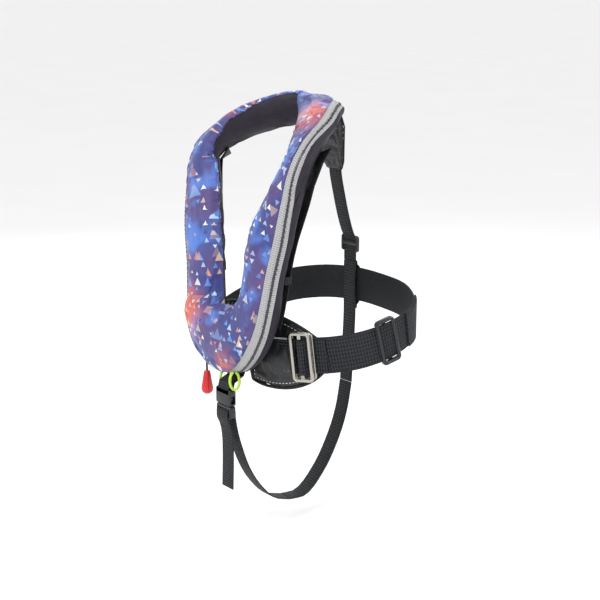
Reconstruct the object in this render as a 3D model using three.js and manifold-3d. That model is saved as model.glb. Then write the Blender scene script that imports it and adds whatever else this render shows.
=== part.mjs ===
// Inflatable life jacket, worn closed: a ring-shaped cover round the neck with the folded lung,
// the inflator and the oral tube inside it, two waist pads, the belt, the back strap with its
// yoke, and the crotch strap with its side-release buckle.
// Millimetres, +Z up. The wearer faces -Y and the wearer's left side is +X.
// The origin is the middle of the neck opening, where the collar rests on the wearer.
import * as THREE from 'three';
import { mergeVertices } from 'three/addons/utils/BufferGeometryUtils.js';
import Module from 'manifold-3d';

const wasm = await Module();
wasm.setup();

// ---------- driving dimensions ----------
const frontDrop = 303; // neck opening down to the middle of the cover's bottom bend
const chestDepth = 98; // neck opening forward to the middle of the cover at the bottom
const lobeSpread = 66; // middle of each lobe sideways, at chest height
const shoulderSpread = 102; // middle of each lobe sideways, at the collar bones
const napeDepth = 50; // neck opening back to the middle of the collar
const collarLean = 0.08; // rise of the collar towards the wearer's left, per millimetre

const lobeHalfWidth = 36; // half the width of a packed lobe
const lobeHalfThick = 20; // half the thickness of a packed lobe
const bendHalfWidth = 50;
const footShift = -6; // the bottom bend lies a little to the wearer's right // half the height of the cover where the lobes join
const coverWall = 2; // cover fabric with its padding
const liningWall = 2;
const seamGap = 0.4; // clearance between neighbouring edges and faces
const foldClearance = 2.2; // room between the cover and the folded bladder

const zipTapeThick = 1.2;
const coilHeight = 1.8;
const sliderStand = 1.4;
const harnessWidth = 36;
const harnessThick = 1.8;

const beltWidth = 50;
const beltThick = 2;
const beltDrop = 16; // belt at the front, below the middle of the cover's bottom bend
const padThick = 9;
const padLength = 132;
const padRise = 60; // top edge of a pad above the belt's middle, at the cover
const padFall = 50;

const strapWidth = 25;
const strapThick = 1.8;
const backStrapDepth = 124; // neck opening back to the strap at belt height
const yokeDrop = 87; // neck opening down to the end of the yoke
const crotchDrop = 246; // belt at the back down to the lowest point of the crotch strap
const buckleGap = 19; // bottom of the cover down to the bar of the side-release buckle
const tailLength = 108;

const limeCord = 4;
const handleLength = 35;
const handleRadius = 8.7;

// Pull cord: from the lever's end straight down through the lining to the handle.
const cordX = -57;
const cordY = -chestDepth + 1.5;
const cordTop = -frontDrop - 12;
const cordEnd = -frontDrop - 60;
const cordRadius = 1.5;

// ---------- materials ----------
function finish(color, roughness, metalness = 0) {
  return new THREE.MeshStandardMaterial({ color, roughness, metalness });
}
const printCloth = finish(0x4a55a8, 0.6);
const liningCloth = finish(0x35303a, 0.8);
const zipCloth = finish(0xb4b6b8, 0.7);
const coilPlastic = finish(0x4c4e52, 0.5);
const padCloth = finish(0x34383c, 0.55);
const webbing = finish(0x2a2d30, 0.85);
const blackPlastic = finish(0x1f2225, 0.45);
const steel = finish(0xc8c6be, 0.25, 1);
const redPlastic = finish(0xc9281f, 0.35);
const limeBraid = finish(0xc8ec5a, 0.7);
const bladderCloth = finish(0xe8c81e, 0.6);
const greyPlastic = finish(0x5c6066, 0.5);
const cylinderSteel = finish(0x8c9094, 0.35, 1);
const whistlePlastic = finish(0xe07a1c, 0.4);

// ---------- building blocks ----------
const group = new THREE.Group();

function add(name, geometry, material, parent = group) {
  const mesh = new THREE.Mesh(geometry, material);
  mesh.name = name;
  parent.add(mesh);
  return mesh;
}

function vec(x, y, z) {
  return new THREE.Vector3(x, y, z);
}

function triangleVolume(points, a, b, c) {
  return points[a].dot(vec(0, 0, 0).crossVectors(points[b], points[c]));
}

// Closed body through a row of sections. A frame has an origin and two unit axes, and
// outlineAt(i) gives section i as [x, y] pairs in them. A closed row joins its own start.
function sweep(frames, outlineAt, closed = false) {
  const outlines = frames.map((frame, i) => outlineAt(i));
  const count = outlines[0].length;
  const points = [];
  frames.forEach((frame, i) => {
    for (const [x, y] of outlines[i]) {
      points.push(frame.origin.clone().addScaledVector(frame.x, x).addScaledVector(frame.y, y));
    }
  });
  const faces = [];
  const bands = closed ? frames.length : frames.length - 1;
  for (let i = 0; i < bands; i += 1) {
    const here = i * count;
    const next = ((i + 1) % frames.length) * count;
    for (let j = 0; j < count; j += 1) {
      const k = (j + 1) % count;
      faces.push([here + j, next + j, next + k], [here + j, next + k, here + k]);
    }
  }
  if (!closed) {
    const last = (frames.length - 1) * count;
    const flat = (outline) => outline.map(([x, y]) => new THREE.Vector2(x, y));
    const turn = Math.sign(THREE.ShapeUtils.area(flat(outlines[0]))) || 1;
    for (const [a, b, c] of THREE.ShapeUtils.triangulateShape(flat(outlines[0]), [])) {
      faces.push(turn > 0 ? [a, b, c] : [a, c, b]);
    }
    for (const [a, b, c] of THREE.ShapeUtils.triangulateShape(flat(outlines[outlines.length - 1]), [])) {
      faces.push(turn > 0 ? [last + a, last + c, last + b] : [last + a, last + b, last + c]);
    }
  }
  return closedGeometry(points, alignCaps(points, faces));
}

// Turns each face so that the whole surface is wound one way, then so that it points out.
function alignCaps(points, faces) {
  const edgeOwner = new Map();
  faces.forEach(([a, b, c], i) => {
    for (const [p, q] of [[a, b], [b, c], [c, a]]) {
      const key = p < q ? `${p}_${q}` : `${q}_${p}`;
      if (!edgeOwner.has(key)) edgeOwner.set(key, []);
      edgeOwner.get(key).push([i, p < q]);
    }
  });
  const state = new Array(faces.length).fill(0);
  const queue = [0];
  state[0] = 1;
  while (queue.length) {
    const i = queue.pop();
    const [a, b, c] = faces[i];
    for (const [p, q] of [[a, b], [b, c], [c, a]]) {
      const key = p < q ? `${p}_${q}` : `${q}_${p}`;
      for (const [j, forward] of edgeOwner.get(key)) {
        if (j !== i && !state[j]) {
          state[j] = forward === (p < q) ? -state[i] : state[i];
          queue.push(j);
        }
      }
    }
  }
  const turned = faces.map(([a, b, c], i) => (state[i] > 0 ? [a, b, c] : [a, c, b]));
  const volume = turned.reduce((sum, [a, b, c]) => sum + triangleVolume(points, a, b, c), 0);
  return volume > 0 ? turned : turned.map(([a, b, c]) => [a, c, b]);
}

function closedGeometry(points, faces) {
  const geometry = new THREE.BufferGeometry();
  geometry.setAttribute('position', new THREE.Float32BufferAttribute(points.flatMap((p) => [p.x, p.y, p.z]), 3));
  geometry.setIndex(faces.flat());
  geometry.computeVertexNormals();
  return geometry;
}

function toSolid(geometry) {
  const bare = new THREE.BufferGeometry();
  bare.setAttribute('position', geometry.getAttribute('position').clone());
  if (geometry.index) bare.setIndex(geometry.index.clone());
  const merged = mergeVertices(bare, 1e-4);
  return new wasm.Manifold(new wasm.Mesh({
    numProp: 3,
    vertProperties: new Float32Array(merged.getAttribute('position').array),
    triVerts: new Uint32Array(merged.index.array),
  }));
}

function fromSolid(solid) {
  const mesh = solid.getMesh();
  const geometry = new THREE.BufferGeometry();
  geometry.setAttribute('position', new THREE.BufferAttribute(new Float32Array(mesh.vertProperties), 3));
  geometry.setIndex(new THREE.BufferAttribute(new Uint32Array(mesh.triVerts), 1));
  geometry.computeVertexNormals();
  return geometry;
}

function cut(geometry, ...tools) {
  return fromSolid(tools.reduce((solid, tool) => solid.subtract(toSolid(tool)), toSolid(geometry)));
}

function join(geometry, ...others) {
  return fromSolid(others.reduce((solid, other) => solid.add(toSolid(other)), toSolid(geometry)));
}

function box(width, depth, height, x = 0, y = 0, z = 0) {
  return new THREE.BoxGeometry(width, depth, height).translate(x, y, z);
}

// Round bar along Z, standing on z.
function rod(radius, height, x = 0, y = 0, z = 0, sides = 16) {
  return new THREE.CylinderGeometry(radius, radius, height, sides).rotateX(Math.PI / 2)
    .translate(x, y, z + height / 2);
}

// Round bar along Y, centred on y.
function crossRod(radius, length, x = 0, y = 0, z = 0, sides = 12) {
  return new THREE.CylinderGeometry(radius, radius, length, sides).translate(x, y, z);
}

// Turned body: profile is [radius, z] pairs from the axis back to the axis.
function turned(profile, sides = 16) {
  const points = profile.map(([r, z]) => new THREE.Vector2(r, z));
  return new THREE.LatheGeometry(points, sides).rotateX(Math.PI / 2);
}

// Flat plate with round corners, in the XZ plane, centred on Y.
function roundedOutline(width, height, radius, reversed = false) {
  const outline = reversed ? new THREE.Path() : new THREE.Shape();
  const x = width / 2 - radius;
  const y = height / 2 - radius;
  outline.moveTo(x + radius, -y);
  outline.absarc(x, y, radius, 0, Math.PI / 2, false);
  outline.absarc(-x, y, radius, Math.PI / 2, Math.PI, false);
  outline.absarc(-x, -y, radius, Math.PI, Math.PI * 1.5, false);
  outline.absarc(x, -y, radius, Math.PI * 1.5, Math.PI * 2, false);
  return outline;
}

function plate(shape, thickness, bevel = 0, curveSegments = 3) {
  const geometry = new THREE.ExtrudeGeometry(shape, {
    depth: thickness - 2 * bevel,
    bevelEnabled: bevel > 0,
    bevelSize: bevel,
    bevelOffset: -bevel,
    bevelThickness: bevel,
    bevelSegments: 1,
    curveSegments,
  });
  return geometry.translate(0, 0, -thickness / 2 + bevel).rotateX(Math.PI / 2);
}

// Rectangular frame of bar stock with a window, in the XZ plane.
function frameRing(width, height, bar, thickness, corner) {
  const shape = roundedOutline(width, height, corner);
  shape.holes.push(roundedOutline(width - 2 * bar, height - 2 * bar, Math.max(corner - bar, 1), true));
  return plate(shape, thickness, thickness * 0.22);
}

// ---------- the ring that the cover follows ----------
// Stations run from the middle of the bottom bend up the wearer's left lobe, round the nape and
// down the right lobe. Each has its place, the way the printed side faces, and the half sizes
// towards the opening, away from it, and through the thickness.
function lobeStations(side) {
  const s = side;
  const rise = (x, z) => z + collarLean * x * s;
  const lobe = lobeHalfWidth;
  const thick = lobeHalfThick;
  const foot = side > 0
    ? [vec(footShift + 44, -chestDepth + 1, -frontDrop + 16), vec(0, -1, 0.02), bendHalfWidth - 9, bendHalfWidth - 8, thick + 1]
    : [vec(footShift - 42, -chestDepth + 1, -frontDrop + 11), vec(-0.08, -1, 0), bendHalfWidth - 8, bendHalfWidth, thick + 1];
  return [
    foot,
    [vec(59 * s, -chestDepth + 5, rise(60, -frontDrop + 54)), vec(0, -1, 0.1), lobe, lobe, thick + 1],
    [vec(lobeSpread * s, -chestDepth + 10, rise(66, -frontDrop + 103)), vec(0.02 * s, -1, 0.1), lobe, lobe, thick],
    [vec((lobeSpread + 11) * s, -chestDepth + 15, rise(77, -frontDrop + 153)), vec(0.05 * s, -1, 0.16), lobe, lobe, thick],
  ];
}

function coverStations() {
  const thick = lobeHalfThick;
  const wide = lobeHalfWidth;
  const left = [
    [vec(shoulderSpread - 11, -chestDepth + 27, 7 - 100), vec(-0.2, -0.92, 0.36), wide - 5, wide - 3, thick - 1],
    [vec(shoulderSpread, -57, -46), vec(-0.34, -0.72, 0.6), wide - 7, wide - 5, thick - 2],
    [vec(shoulderSpread - 17, -21, -16), vec(0, -0.56, 0.83), wide - 7, wide - 5, thick - 3],
    [vec(58, 11, -3), vec(0.02, -0.36, 0.94), wide - 7, wide - 3, thick - 3],
    [vec(29, napeDepth - 14, 5), vec(0.08, 0.05, 0.99), wide - 8, wide - 4, thick - 4],
  ];
  const nape = [[vec(-3, napeDepth - 1, 4), vec(-0.08, 0.72, 0.68), wide - 9, wide - 9, thick - 5]];
  const right = [
    [vec(-32, napeDepth - 15, -1), vec(-0.42, 0.74, 0.52), wide - 9, wide - 9, thick - 5],
    [vec(-60, 9, -11), vec(-0.6, 0.48, 0.64), wide - 8, wide - 8, thick - 4],
    [vec(17 - shoulderSpread, -20, -27), vec(-0.6, 0.16, 0.78), wide - 5, wide - 5, thick - 3],
    [vec(-shoulderSpread, -56, -60), vec(-0.46, -0.48, 0.74), wide - 2, wide - 2, thick - 1],
    [vec(11 - shoulderSpread, -chestDepth + 27, -107), vec(-0.2, -0.9, 0.38), wide, wide, thick],
  ];
  const bottom = [[vec(footShift, -chestDepth, -frontDrop), vec(-0.02, -1, -0.06), bendHalfWidth - 2, bendHalfWidth, thick + 1]];
  return [...bottom, ...lobeStations(1), ...left, ...nape, ...right, ...lobeStations(-1).reverse()];
}

const stations = coverStations();
const stationCount = stations.length;
const stepsPerStation = 2;
const pathCurve = new THREE.CatmullRomCurve3(stations.map((s) => s[0]), true, 'catmullrom', 0.5);
const faceCurve = new THREE.CatmullRomCurve3(stations.map((s) => s[1]), true, 'catmullrom', 0.5);
const sizeCurve = new THREE.CatmullRomCurve3(stations.map((s) => vec(s[2], s[3], s[4])), true, 'catmullrom', 0.5);

// Frame of the ring at a station number: x away from the opening, y towards the wearer.
function ringFrame(station) {
  const t = (((station / stationCount) % 1) + 1) % 1;
  const along = pathCurve.getTangent(t);
  const front = faceCurve.getPoint(t);
  front.addScaledVector(along, -front.dot(along)).normalize();
  const away = vec(0, 0, 0).crossVectors(along, front).normalize();
  const size = sizeCurve.getPoint(t);
  return {
    origin: pathCurve.getPoint(t), x: away, y: front.clone().negate(), along,
    halfIn: size.x, halfOut: size.y, halfThick: size.z,
  };
}

function ringFrames(from, to, step = 1 / stepsPerStation) {
  const steps = Math.round((to - from) / step);
  return Array.from({ length: steps + 1 }, (_, i) => ringFrame(from + ((to - from) * i) / steps));
}

function closedRingFrames() {
  return Array.from({ length: stationCount * stepsPerStation }, (_, i) => ringFrame(i / stepsPerStation));
}

// Point of the lobe's oval at an angle: 0 at the outer edge, -90 the printed front, 90 the back.
function ovalPoint(frame, degrees, inset) {
  const a = THREE.MathUtils.degToRad(degrees);
  const half = Math.cos(a) > 0 ? frame.halfOut : frame.halfIn;
  return [(half - inset) * Math.cos(a), (frame.halfThick - inset) * Math.sin(a)];
}

// Outline of a strip of the oval's skin, from one angle to another, between two depths.
function skinOutline(frame, from, to, outside, inside, pieces) {
  const outline = [];
  for (let i = 0; i <= pieces; i += 1) outline.push(ovalPoint(frame, from + ((to - from) * i) / pieces, outside));
  for (let i = pieces; i >= 0; i -= 1) outline.push(ovalPoint(frame, from + ((to - from) * i) / pieces, inside));
  return outline;
}

// Edges round the lobe: the angle where each lies, and whether it follows the zip, which runs
// round under the hem at the foot of the right lobe.
const seamAngle = THREE.MathUtils.radToDeg(seamGap / lobeHalfThick);
const printEdge = { angle: -53, zip: true };
const coilEdge = { angle: -32, zip: true };
const coilFarEdge = { angle: -27, zip: true };
const tapeFarEdge = { angle: -11, zip: true };
const innerSeam = { angle: -192, zip: false }; // where print and lining meet beside the opening
const zipUnderHem = 38; // degrees
const hemStation = stationCount - 0.6;

function shifted(edge, angle) {
  return { angle: edge.angle + angle, zip: edge.zip };
}

function edgeAngle(edge, station) {
  const apart = Math.abs(station - hemStation);
  const near = 1 - THREE.MathUtils.smoothstep(Math.min(apart, stationCount - apart), 0.3, 1.7);
  return edge.angle + (edge.zip ? zipUnderHem * near : 0);
}

// ---------- cover, zip and harness webbing ----------
function ringSkin(from, to, outside, inside, pieces) {
  const frames = closedRingFrames();
  const angles = frames.map((_, i) => [from, to].map((edge) => edgeAngle(edge, i / stepsPerStation)));
  return sweep(frames, (i) => skinOutline(frames[i], ...angles[i], outside, inside, pieces), true);
}

function addCover() {
  const top = 0.2; // depth of the tapes below the oval
  const print = ringSkin(innerSeam, shifted(printEdge, -seamAngle), 0, coverWall, 8);
  add('cover_print', print, printCloth);
  add('zip_coil', ringSkin(coilEdge, coilFarEdge, -0.5, coilHeight - 0.5, 1), coilPlastic);
  const innerTape = ringSkin(shifted(coilFarEdge, seamAngle), tapeFarEdge, top, top + zipTapeThick, 2);
  const nextRound = shifted(innerSeam, 360 - 2 * seamAngle);
  const lining = ringSkin(shifted(tapeFarEdge, seamAngle), nextRound, 0, liningWall, 9);
  const hole = rod(cordRadius + 1, cordTop - cordEnd + 16, cordX, cordY, cordEnd - 8, 8);
  const outerTape = ringSkin(printEdge, shifted(coilEdge, -seamAngle), top, top + zipTapeThick, 2);
  add('zip_tape_print_side', cut(outerTape, hole), zipCloth);
  add('zip_tape_lining_side', cut(innerTape, hole), zipCloth);
  add('cover_lining', cut(lining, hole), liningCloth);
}

function addBladder() {
  const endStation = 2;
  const foldedHalf = 1.6; // beside the cylinder and the oral tube
  const thinUntil = 3.1;
  const fullFrom = 3.9;
  const frames = ringFrames(endStation, stationCount - endStation);
  const inset = coverWall + foldClearance;
  const outline = (i) => {
    const along = endStation + i / stepsPerStation;
    const fromEnd = Math.min(along, stationCount - along);
    const full = THREE.MathUtils.smoothstep(fromEnd, thinUntil, fullFrom);
    const frame = frames[i];
    const height = THREE.MathUtils.lerp(foldedHalf, frame.halfThick - inset, full);
    const middle = THREE.MathUtils.lerp(frame.halfThick - inset - 4, 0, full);
    const share = THREE.MathUtils.lerp(0.56, 1, full);
    return Array.from({ length: 10 }, (_, j) => {
      const a = (j / 10) * Math.PI * 2;
      const half = (Math.cos(a) > 0 ? frame.halfOut : frame.halfIn) - inset;
      return [half * share * Math.cos(a), middle + height * Math.sin(a)];
    });
  };
  add('bladder', sweep(frames, outline), bladderCloth);
}

function harnessFrames(side, from, to) {
  return side > 0 ? ringFrames(from, to) : ringFrames(stationCount - to, stationCount - from);
}

const harnessInner = -10; // across the lobe, from its middle
const twistRoom = 2.4; // for the lining's twist at the collar

function addHarness(side, name, padReach) {
  const frames = harnessFrames(side, 1.5, 6.5);
  const near = seamGap + twistRoom;
  const lowEnd = side > 0 ? 0 : frames.length - 1;
  add(`harness_webbing_${name}`, sweep(frames, (i) => {
    const back = frames[i].halfThick + near + (i === lowEnd ? padReach : 0);
    return [
      [harnessInner, back], [harnessInner + harnessWidth, back],
      [harnessInner + harnessWidth, back + harnessThick], [harnessInner, back + harnessThick],
    ];
  }), webbing);
}

function addKeeper(side, name) {
  const frames = harnessFrames(side, 2.7, 2.95).filter((_, i, all) => i === 0 || i === all.length - 1);
  const thick = 1.2;
  add(`keeper_band_${name}`, sweep(frames, (i) => {
    const { halfThick, halfIn, halfOut } = frames[i];
    const under = (x) => {
      const half = x > 0 ? halfOut : halfIn;
      return halfThick * Math.sqrt(1 - (x / half) ** 2) + seamGap;
    };
    const left = harnessInner - seamGap;
    const right = harnessInner + harnessWidth + seamGap;
    const top = halfThick + harnessThick + twistRoom + 2 * seamGap;
    return [
      [left - thick, under(left - thick) + 0.4], [left, under(left) + 0.3], [left, top], [right, top],
      [right, under(right) + 0.9], [right + thick, under(right) + 0.3], [right + thick, top + thick],
      [left - thick, top + thick],
    ];
  }), webbing);
}

const sliderStation = 11.1; // behind the collar, on the wearer's right

function addZipSlider() {
  const frame = ringFrame(sliderStation);
  const angle = (coilEdge.angle + coilFarEdge.angle) / 2;
  const [x, y] = ovalPoint(frame, angle, 0);
  const a = THREE.MathUtils.degToRad(angle);
  const normal = frame.x.clone().multiplyScalar(Math.cos(a) / frame.halfOut)
    .addScaledVector(frame.y, Math.sin(a) / frame.halfThick).normalize();
  const across = vec(0, 0, 0).crossVectors(frame.along, normal);
  const holder = new THREE.Group();
  holder.quaternion.setFromRotationMatrix(new THREE.Matrix4().makeBasis(across, normal, frame.along.clone().negate()));
  holder.position.copy(frame.origin).addScaledVector(frame.x, x).addScaledVector(frame.y, y)
    .addScaledVector(normal, sliderStand);
  group.add(holder);
  const body = plate(roundedOutline(8.5, 11, 2.5), 2, 0.4).translate(0, 1, 0);
  const lug = cut(box(2.4, 3.6, 6, 0, 3.4, 0), box(4, 2, 3, 0, 3.6, 0));
  add('zip_slider', join(body, lug), steel, holder);
  const pull = roundedOutline(6.4, 24, 2.4);
  const puller = plate(pull, 1.1);
  const slotted = cut(puller, box(3.2, 4, 8.4, 0, 0, 6.2));
  add('zip_puller', slotted.translate(0, 3.6, -11.2), steel, holder);
}

// ---------- inflator, in the foot of the right lobe ----------
const inflatorTilt = 18; // degrees that the cylinder leans out along the lobe
const inflatorPlace = vec(-33, -chestDepth - 0.4, -frontDrop + 15);
const inflatorBody = { width: 28, depth: 20, height: 32 };
const pinTravelRoom = 3.4;
const backwardLean = 6; // degrees that the inflator and the oral tube lean towards the wearer

function inflatorGroup() {
  const holder = new THREE.Group();
  holder.position.copy(inflatorPlace);
  holder.rotation.set(-THREE.MathUtils.degToRad(backwardLean), THREE.MathUtils.degToRad(-inflatorTilt), 0);
  group.add(holder);
  return holder;
}

function addInflator() {
  const holder = inflatorGroup();
  const { width, depth, height } = inflatorBody;
  const top = height / 2;
  const leverSlot = box(width / 2 + 7.4, 6, 12.6, -width / 4 + 3.2, 0, -top + 5.3);
  const chamber = rod(3.8, 17, 0, 0, -9.4);
  const bore = rod(1.8, 14, 0, 0, 5);
  const socket = rod(5, 8, 0, 0, top - 1);
  const pinHole = crossRod(1.7, depth + 2, 0, 0, -11, 16);
  const body = join(plate(roundedOutline(width, height, 3), depth, 1), rod(8, 6, 0, 0, top - 0.5));
  add('inflator_body', cut(body, leverSlot, chamber, bore, socket, pinHole), greyPlastic, holder);

  const neck = top + 0.2;
  add('co2_cylinder', turned([
    [0, neck], [4.4, neck], [4.4, neck + 7.5], [6, neck + 9], [10, neck + 15], [10, neck + 62],
    [9, neck + 66], [6, neck + 69], [0, neck + 70],
  ]), cylinderSteel, holder);

  add('piercing_pin', turned([
    [0, -8.2], [3.3, -8.2], [3.3, -6.6], [1.4, -6.6], [1.4, 8.5], [0, 11.5],
  ], 16), steel, holder);
  addSpring(holder);

  const arm = 22;
  const lever = new THREE.Shape();
  lever.moveTo(4.4, -13);
  lever.absarc(0, -13, 4.4, 0, Math.PI * 0.75, false);
  lever.lineTo(-arm, -8.8);
  lever.absarc(-arm, -11, 2.2, Math.PI / 2, Math.PI * 1.5, false);
  lever.lineTo(-4, -15.6);
  lever.absarc(0, -13, 4.4, Math.PI * 1.2, Math.PI * 2, false);
  const leverPlate = plate(lever, 5, 0.4);
  add('firing_lever', cut(leverPlate, crossRod(1.9, 9, 0, 0, -11, 16)), redPlastic, holder);
  add('lever_pin', crossRod(1.5, depth - 1, 0, 0, -11, 16), steel, holder);

  const side = width / 2 + seamGap;
  const bobbin = turned([[0, side], [8, side], [8, side + 9], [7, side + 10], [0, side + 10]], 20);
  add('auto_cartridge', bobbin.rotateY(Math.PI / 2).translate(0, 0, 4), whistlePlastic, holder);
  const capStart = side + 10 + seamGap;
  const cap = turned([[0, capStart], [8.6, capStart], [8.6, capStart + 6], [7, capStart + 8], [0, capStart + 8]], 20);
  add('auto_cartridge_cap', cap.rotateY(Math.PI / 2).translate(0, 0, 4), greyPlastic, holder);
}

function addSpring(holder) {
  const bottom = -6.6 + pinTravelRoom;
  const height = 7.3 - bottom;
  const turns = 3;
  class Helix extends THREE.Curve {
    getPoint(t, target = vec(0, 0, 0)) {
      const a = t * turns * Math.PI * 2;
      return target.set(2.6 * Math.cos(a), 2.6 * Math.sin(a), bottom + 0.5 + t * (height - 1));
    }
  }
  const wire = new THREE.Shape();
  wire.absarc(0, 0, 0.4, 0, Math.PI * 2, false);
  const spring = new THREE.ExtrudeGeometry(wire, { steps: turns * 10, extrudePath: new Helix(), curveSegments: 3 });
  add('pin_spring', spring, steel, holder);
}

function addPullHandle() {
  const middle = (cordTop + cordEnd) / 2;
  const route = new THREE.CatmullRomCurve3([vec(cordX, cordY, cordTop), vec(cordX, cordY, middle), vec(cordX, cordY, cordEnd)]);
  const section = new THREE.Shape();
  section.absarc(0, 0, cordRadius, 0, Math.PI * 2, false);
  add('pull_cord', new THREE.ExtrudeGeometry(section, { steps: 8, extrudePath: route, curveSegments: 4 }), blackPlastic);
  const r = handleRadius;
  const h = handleLength;
  const drop = turned([
    [0, 0], [r * 0.42, 0], [r * 0.52, -1.5], [r * 0.95, -h * 0.66], [r, -h * 0.76], [r * 0.9, -h * 0.88],
    [r * 0.55, -h * 0.97], [0, -h],
  ].reverse());
  add('pull_handle', drop.translate(cordX, cordY, cordEnd - seamGap), redPlastic);
}

// ---------- oral tube and whistle, in the foot of the left lobe ----------
function addOralTube() {
  const frame = ringFrame(1.1);
  const holder = new THREE.Group();
  holder.position.copy(frame.origin).add(vec(0, 1.2, 0));
  holder.rotation.set(-THREE.MathUtils.degToRad(backwardLean), THREE.MathUtils.degToRad(inflatorTilt), 0);
  group.add(holder);
  const tube = turned([[0, 0], [8.5, 0], [8.5, 3], [7, 5], [7, 62], [8.2, 64], [8.2, 72], [0, 72]]);
  const bore = rod(4.6, 12, 0, 0, 63);
  add('oral_tube', cut(tube, bore), blackPlastic, holder);
  const valve = turned([[0, 64], [4, 64], [4, 70], [2.6, 71], [2.6, 75], [0, 75]], 16);
  add('oral_valve', valve, whistlePlastic, holder);
  const cap = cut(turned([[0, 73], [7.9, 73], [7.9, 83], [6.8, 85], [0, 85]]), rod(4.6, 7, 0, 0, 72));
  add('oral_valve_cap', cap, blackPlastic, holder);
  const whistle = join(box(12, 8, 30, -13.4, 0, 26), rod(6, 8, 0, 0, -4).rotateX(Math.PI / 2).translate(-13.4, 0, 12));
  add('whistle', cut(whistle, box(8, 4, 12, -13.4, 0, 38), box(8, 6, 4, -13.4, -5, 26)), whistlePlastic, holder);
}

// ---------- belt ----------
const beltFront = -frontDrop - beltDrop;
const beltBackRise = 58; // belt at the back above the belt at the front

function beltPlace(x, y, share) {
  return vec(x, y, beltFront + share * beltBackRise);
}

const beltPath = new THREE.CatmullRomCurve3([
  beltPlace(0, -chestDepth + 26, 0), beltPlace(45, -chestDepth + 29, 0.03), beltPlace(95, -chestDepth + 42, 0.12),
  beltPlace(141, -chestDepth + 62, 0.24), beltPlace(172, -5, 0.4), beltPlace(184, 34, 0.58),
  beltPlace(172, 84, 0.78), beltPlace(124, 117, 0.97), beltPlace(62, backStrapDepth + 3.5, 1.02),
  beltPlace(0, backStrapDepth + 4.6, 1), beltPlace(-52, 115, 0.92), beltPlace(-90, 84, 0.78),
  beltPlace(-110, 46, 0.56), beltPlace(-116, 8, 0.36), beltPlace(-107, -30, 0.2),
  beltPlace(-76, -56, 0.07), beltPlace(-36, -chestDepth + 28, 0.02),
], true, 'centripetal');
const beltLength = beltPath.getLength();

// Frame on the belt at a length from the front: x up the webbing, y outward.
function beltFrame(length, outward = 0) {
  const u = (((length / beltLength) % 1) + 1) % 1;
  const along = beltPath.getTangentAt(u);
  const out = vec(along.y, -along.x, 0).normalize();
  const up = vec(0, 0, 0).crossVectors(along, out).normalize();
  if (up.z < 0) up.negate();
  const face = out.clone().addScaledVector(up, -out.dot(up)).normalize();
  return { origin: beltPath.getPointAt(u).addScaledVector(face, outward), x: up, y: face, along };
}

function beltRibbon(from, to, outward, width, thick, steps) {
  const frames = Array.from({ length: steps + 1 }, (_, i) => beltFrame(from + ((to - from) * i) / steps, outward));
  return sweep(frames, () => rectangle(width, thick));
}

function rectangle(width, thick) {
  return [[-width / 2, -thick / 2], [width / 2, -thick / 2], [width / 2, thick / 2], [-width / 2, thick / 2]];
}

const padStart = 12; // along the belt, from the middle of the front

function padOutline(side, share) {
  const rise = padRise * (1 - share ** 2) ** 0.75;
  const fall = padFall * (1 - Math.abs((share - 0.3) / 0.7) ** 2.2) ** 0.6;
  const floor = 3;
  const top = Math.max(rise, floor);
  const bottom = -Math.max(fall, floor);
  const half = (padThick / 2) * (0.45 + 0.55 * (1 - share ** 4) ** 0.5);
  const edge = half * 0.45;
  const inner = 0.12;
  const low = THREE.MathUtils.lerp(bottom, top, inner);
  const high = THREE.MathUtils.lerp(top, bottom, inner);
  return [[bottom, -edge], [low, -half], [0, -half], [high, -half], [top, -edge], [top, edge], [high, half],
    [0, half], [low, half], [bottom, edge]];
}

function addPad(side, name) {
  const steps = 14;
  const length = side > 0 ? padLength : 96;
  const frames = Array.from({ length: steps + 1 }, (_, i) => beltFrame(
    side * (padStart + (length * i) / steps), -padThick / 2 - beltThick / 2 - (side > 0 ? 1 : 2.2) * seamGap));
  add(`waist_pad_${name}`, sweep(frames, (i) => padOutline(side, (i / steps) * 0.985)), padCloth);
}

// Group on the belt: local X along the belt, Y inward to the wearer, Z up.
function beltGroup(length, outward) {
  const frame = beltFrame(length, outward);
  const holder = new THREE.Group();
  const inward = frame.y.clone().negate();
  const along = vec(0, 0, 0).crossVectors(inward, frame.x);
  holder.quaternion.setFromRotationMatrix(new THREE.Matrix4().makeBasis(along, inward, frame.x));
  holder.position.copy(frame.origin);
  group.add(holder);
  return holder;
}

const patchAt = 72; // along the belt from the middle of the front
const patchWidth = 24;
const buckleAt = 110;
const ringWidth = 34;
const ringHeight = 64;
const ringBar = 4.4;
const slideWidth = 32;
const slideHeight = 68;
const ringStand = 5.6; // ring, outward of the belt's path
const slideStand = ringStand + 6.2;
const glideAt = 227;
const glideWidth = 30;
const glideHeight = 64;

function addFrontBuckle() {
  const patch = beltGroup(patchAt, -0.1);
  add('webbing_patch', box(patchWidth, beltThick, beltWidth - 2), webbing, patch);

  const holder = beltGroup(buckleAt, ringStand);
  add('buckle_ring', frameRing(ringWidth, ringHeight, ringBar, 3.6, 6), steel, holder);
  addRingLoop(holder);

  const front = beltGroup(buckleAt, slideStand);
  const centreBar = box(5, 3, slideHeight - 2 * ringBar + 2);
  const slide = frameRing(slideWidth, slideHeight, ringBar, 3.6, 6);
  add('buckle_slide', join(slide, centreBar), steel, front);
  addSlideLoop(front);
}

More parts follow.
